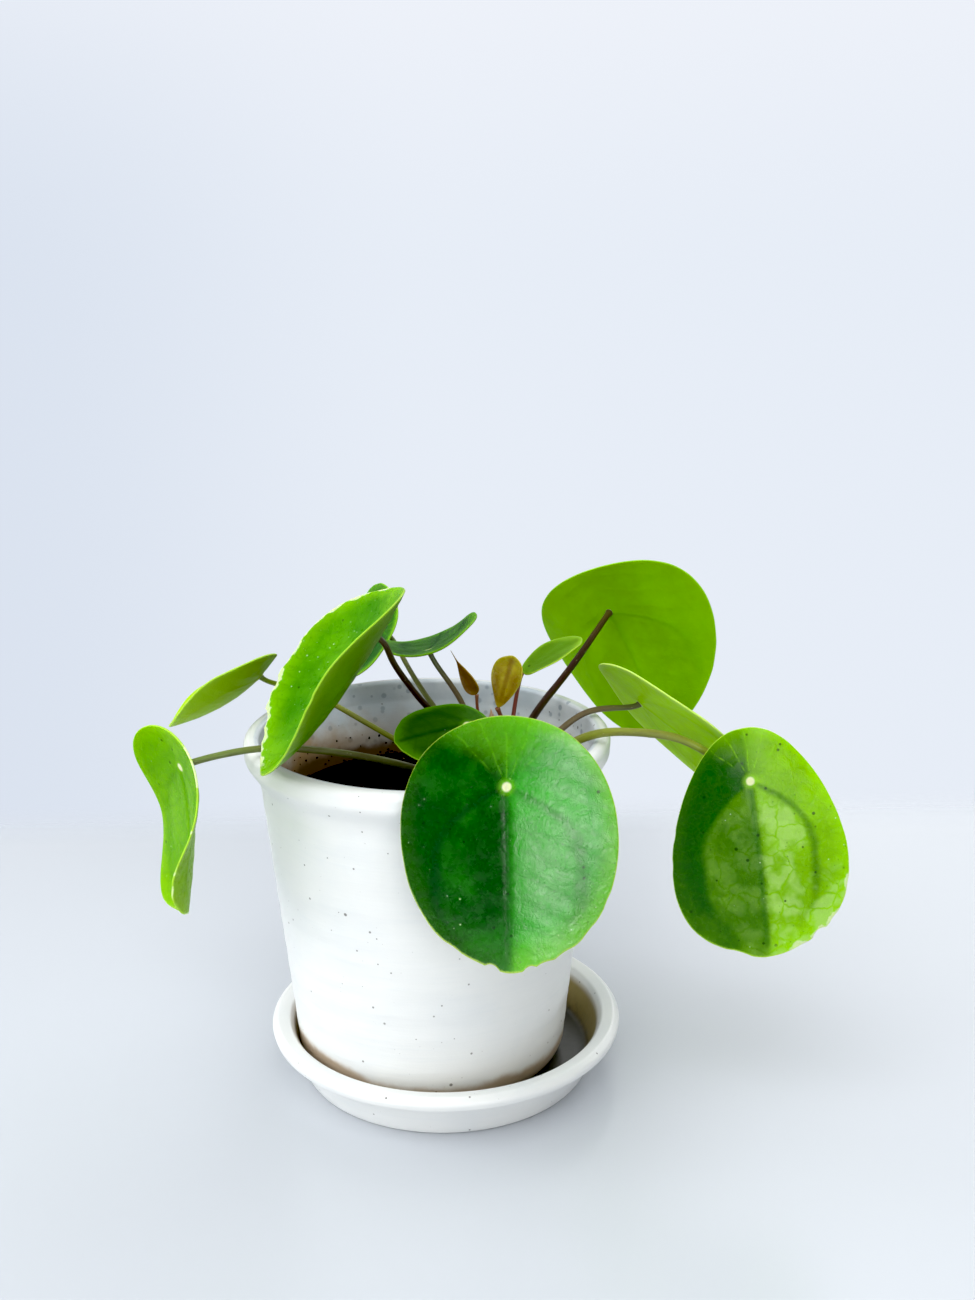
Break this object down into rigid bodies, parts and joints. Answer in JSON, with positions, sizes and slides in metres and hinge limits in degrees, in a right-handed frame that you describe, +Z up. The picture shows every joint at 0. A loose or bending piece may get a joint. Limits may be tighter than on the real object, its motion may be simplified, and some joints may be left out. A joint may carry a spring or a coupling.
{
  "type": "potted plant",
  "caption": "Round-leaved houseplant growing in a flared white speckled ceramic pot that stands on a matching saucer.",
  "frame": {"origin": "centre of the underside of the saucer", "axes": "+Z up, -Y towards the side with the large hanging front leaf, +X towards the large right leaf"},
  "size_m": [0.2447, 0.1853, 0.1897],
  "materials": {
    "saucer": "satin white glaze with small dark specks, stained brown inside",
    "pot": "satin white glaze with sparse small dark specks and faint throwing rings",
    "soil": "moist dark crumbly potting mix",
    "stem": "rough brown bark with old leaf scars",
    "stipule": "thin dry pale scale",
    "leaf_front": "smooth slightly glossy fleshy leaf",
    "leaf_right": "smooth slightly glossy fleshy leaf",
    "leaf_left_tall": "smooth slightly glossy fleshy leaf",
    "leaf_left_behind": "smooth slightly glossy fleshy leaf",
    "leaf_middle": "smooth slightly glossy fleshy leaf",
    "leaf_left_far": "smooth slightly glossy fleshy leaf",
    "leaf_left_low": "smooth slightly glossy fleshy leaf",
    "leaf_small_front": "smooth slightly glossy fleshy leaf",
    "leaf_right_back": "smooth slightly glossy fleshy leaf",
    "leaf_right_middle": "smooth slightly glossy fleshy leaf",
    "leaf_young": "smooth slightly glossy fleshy leaf",
    "leaf_bud": "smooth slightly glossy fleshy leaf",
    "leaf_narrow": "smooth slightly glossy fleshy leaf",
    "stalk_front": "smooth round fleshy stalk",
    "stalk_right": "smooth round fleshy stalk",
    "stalk_left_tall": "smooth round fleshy stalk",
    "stalk_left_behind": "smooth round fleshy stalk",
    "stalk_middle": "smooth round fleshy stalk",
    "stalk_left_far": "smooth round fleshy stalk",
    "stalk_left_low": "smooth round fleshy stalk",
    "stalk_small_front": "smooth round fleshy stalk",
    "stalk_right_back": "smooth round fleshy stalk",
    "stalk_right_middle": "smooth round fleshy stalk",
    "stalk_young": "smooth round fleshy stalk",
    "stalk_bud": "smooth round fleshy stalk",
    "stalk_narrow": "smooth round fleshy stalk"
  },
  "bodies": {
    "root": {"saucer": "saucer", "pot": "pot", "soil": "soil", "stem": "stem", "stipule": "stipule", "leaf_front": "leaf_front", "leaf_right": "leaf_right", "leaf_left_tall": "leaf_left_tall", "leaf_left_behind": "leaf_left_behind", "leaf_middle": "leaf_middle", "leaf_left_far": "leaf_left_far", "leaf_left_low": "leaf_left_low", "leaf_small_front": "leaf_small_front", "leaf_right_back": "leaf_right_back", "leaf_right_middle": "leaf_right_middle", "leaf_young": "leaf_young", "leaf_bud": "leaf_bud", "leaf_narrow": "leaf_narrow", "stalk_front": "stalk_front", "stalk_right": "stalk_right", "stalk_left_tall": "stalk_left_tall", "stalk_left_behind": "stalk_left_behind", "stalk_middle": "stalk_middle", "stalk_left_far": "stalk_left_far", "stalk_left_low": "stalk_left_low", "stalk_small_front": "stalk_small_front", "stalk_right_back": "stalk_right_back", "stalk_right_middle": "stalk_right_middle", "stalk_young": "stalk_young", "stalk_bud": "stalk_bud", "stalk_narrow": "stalk_narrow"}
  },
  "joints": []
}
